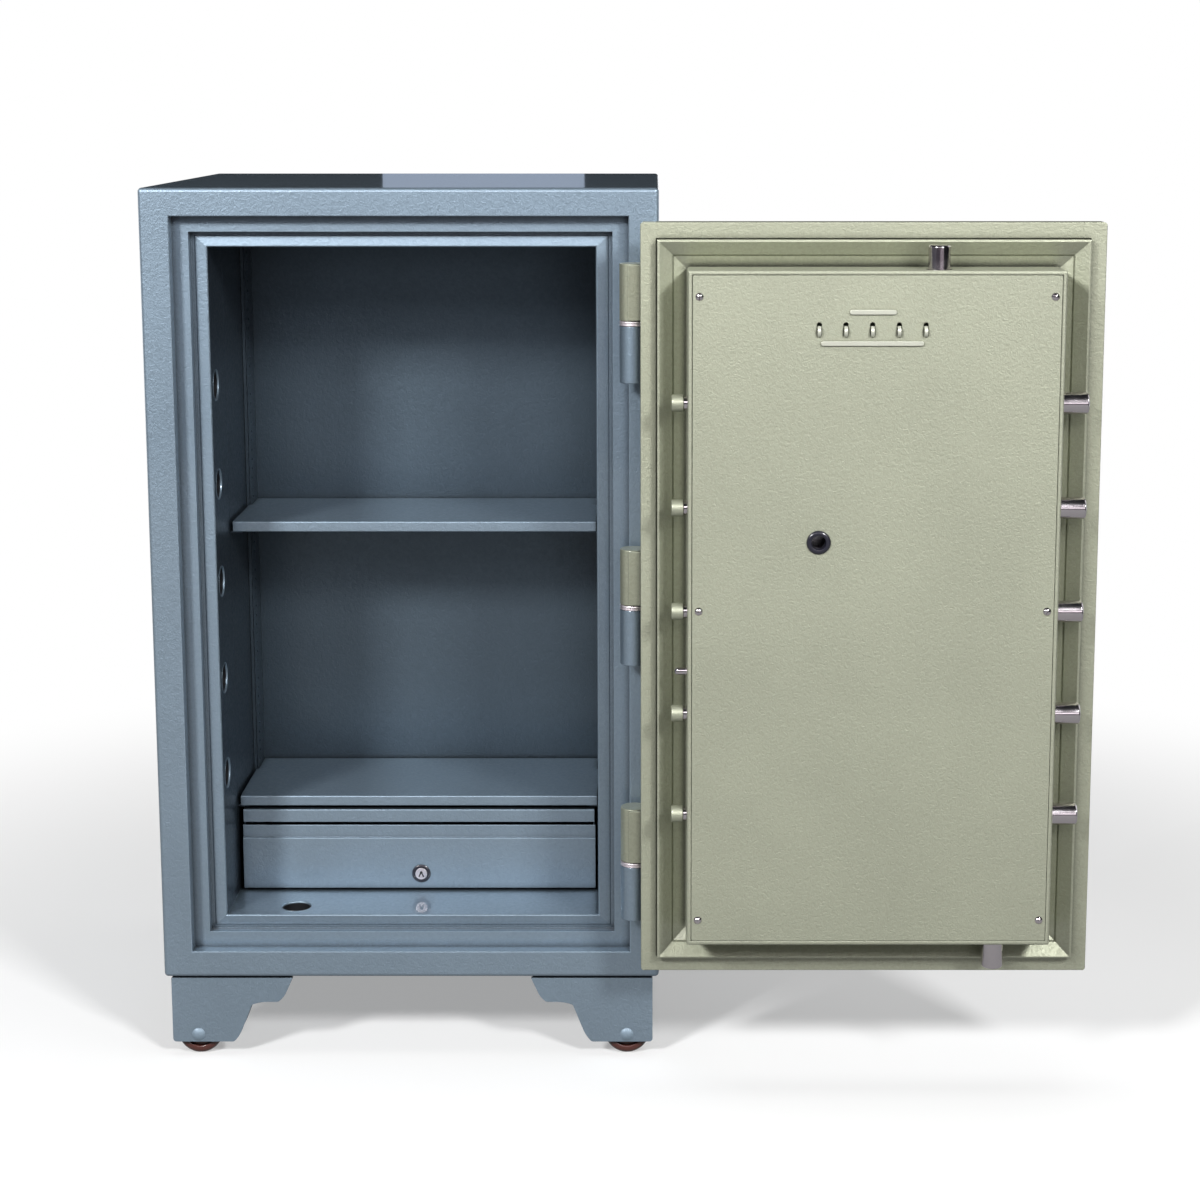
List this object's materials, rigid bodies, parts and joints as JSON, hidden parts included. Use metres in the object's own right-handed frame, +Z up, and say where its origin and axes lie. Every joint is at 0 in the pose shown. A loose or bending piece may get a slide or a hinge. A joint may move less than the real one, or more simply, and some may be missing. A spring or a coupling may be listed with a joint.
{
  "type": "home safe",
  "caption": "Free-standing steel fire-type safe on wheeled feet, with a swung-open door, round locking bolts, shelves and a lockable drawer.",
  "frame": {"origin": "middle of the bounding box's base, at floor level, with the door fully open", "axes": "+X to the right seen from the front, +Y to the back, +Z up"},
  "size_m": [1.1032, 0.6312, 1.0525],
  "materials": {
    "body_paint": "fine textured blue-grey enamel",
    "inner_paint": "fine textured blue-grey enamel, in shade",
    "door_paint": "fine textured sage green enamel",
    "chrome": "bright plated",
    "plated_steel": "satin plated",
    "black_metal": "semi-gloss black",
    "wheel_plastic": "glossy brown",
    "cast_fill": "rough cast"
  },
  "bodies": {
    "safe_body": {"outer_shell": "body_paint", "door_frame": "body_paint", "inner_liner": "inner_paint", "fire_fill": "cast_fill", "upper_shelf": "body_paint", "lower_shelf": "body_paint", "upright_left": "body_paint", "upright_right": "body_paint", "drawer_case": "inner_paint", "foot_front_left": "body_paint", "foot_front_right": "body_paint", "foot_back_left": "body_paint", "foot_back_right": "body_paint", "axle_front_left": "body_paint", "axle_front_right": "body_paint", "axle_back_left": "body_paint", "axle_back_right": "body_paint", "hinge_lower_1": "body_paint", "hinge_lower_2": "body_paint", "hinge_lower_3": "body_paint", "hinge_washer_1": "chrome", "hinge_washer_2": "chrome", "hinge_washer_3": "chrome"},
    "door": {"door_shell": "door_paint", "door_inner_pan": "door_paint", "door_fill": "cast_fill", "bolt_box": "door_paint", "cover_panel": "door_paint", "cover_screw_1": "chrome", "cover_screw_2": "chrome", "cover_screw_3": "chrome", "cover_screw_4": "chrome", "cover_screw_5": "chrome", "cover_screw_6": "chrome", "change_key_bushing": "black_metal", "fixed_pin_strip": "door_paint", "catch_pin": "chrome", "hinge_upper_1": "door_paint", "hinge_upper_2": "door_paint", "hinge_upper_3": "door_paint", "dial_ring": "black_metal", "lock_case": "plated_steel"},
    "side_bolts": {"bolt_carrier": "plated_steel", "side_bolt_1": "chrome", "side_bolt_2": "chrome", "side_bolt_3": "chrome", "side_bolt_4": "chrome", "side_bolt_5": "chrome"},
    "top_bolt": {"top_bolt": "chrome"},
    "bottom_bolt": {"bottom_bolt": "chrome"},
    "handle": {"door_handle": "chrome"},
    "dial": {"combination_dial": "plated_steel"},
    "drawer": {"drawer_tray": "inner_paint", "drawer_front": "body_paint", "drawer_lock_body": "black_metal"},
    "drawer_plug": {"drawer_lock_cylinder": "plated_steel"},
    "wheel_front_left": {"wheel_front_left": "wheel_plastic"},
    "wheel_front_right": {"wheel_front_right": "wheel_plastic"},
    "wheel_back_left": {"wheel_back_left": "wheel_plastic"},
    "wheel_back_right": {"wheel_back_right": "wheel_plastic"}
  },
  "joints": [
    {"name": "door_swing", "type": "hinge", "parent": "safe_body", "child": "door", "pos_m": [0.01885, -0.2117, 0.577], "axis": [0, 0, 1], "range_deg": [-180, 0]},
    {"name": "bolt_throw", "type": "slide", "parent": "door", "child": "side_bolts", "axis": [-1, 0, 0], "range_m": [0, 0.025]},
    {"name": "top_bolt_throw", "type": "slide", "parent": "door", "child": "top_bolt", "axis": [0, 0, -1], "range_m": [0, 0.025]},
    {"name": "bottom_bolt_throw", "type": "slide", "parent": "door", "child": "bottom_bolt", "axis": [0, 0, 1], "range_m": [0, 0.025]},
    {"name": "handle_turn", "type": "hinge", "parent": "door", "child": "handle", "pos_m": [0.3971, -0.238, 0.577], "axis": [0, -1, 0], "range_deg": [0, 40]},
    {"name": "dial_turn", "type": "hinge", "parent": "door", "child": "dial", "pos_m": [0.25135, -0.238, 0.661], "axis": [0, -1, 0], "continuous": true},
    {"name": "drawer_slide", "type": "slide", "parent": "safe_body", "child": "drawer", "axis": [0, -1, 0], "range_m": [0, 0.13]},
    {"name": "drawer_lock_turn", "type": "hinge", "parent": "drawer", "child": "drawer_plug", "pos_m": [-0.24965, -0.0654, 0.193], "axis": [0, -1, 0], "range_deg": [0, 90]},
    {"name": "roll_front_left", "type": "hinge", "parent": "safe_body", "child": "wheel_front_left", "pos_m": [-0.51265, -0.1604, 0.0273], "axis": [0, 1, 0], "continuous": true},
    {"name": "roll_front_right", "type": "hinge", "parent": "safe_body", "child": "wheel_front_right", "pos_m": [0.00935, -0.1604, 0.0273], "axis": [0, 1, 0], "continuous": true},
    {"name": "roll_back_left", "type": "hinge", "parent": "safe_body", "child": "wheel_back_left", "pos_m": [-0.51265, 0.2896, 0.0273], "axis": [0, 1, 0], "continuous": true},
    {"name": "roll_back_right", "type": "hinge", "parent": "safe_body", "child": "wheel_back_right", "pos_m": [0.00935, 0.2896, 0.0273], "axis": [0, 1, 0], "continuous": true}
  ],
  "couplings": [
    {"joint": "top_bolt_throw", "follows": "bolt_throw", "ratio": 1},
    {"joint": "bottom_bolt_throw", "follows": "bolt_throw", "ratio": 1},
    {"joint": "handle_turn", "follows": "bolt_throw", "rad_per_m": 27.9}
  ]
}
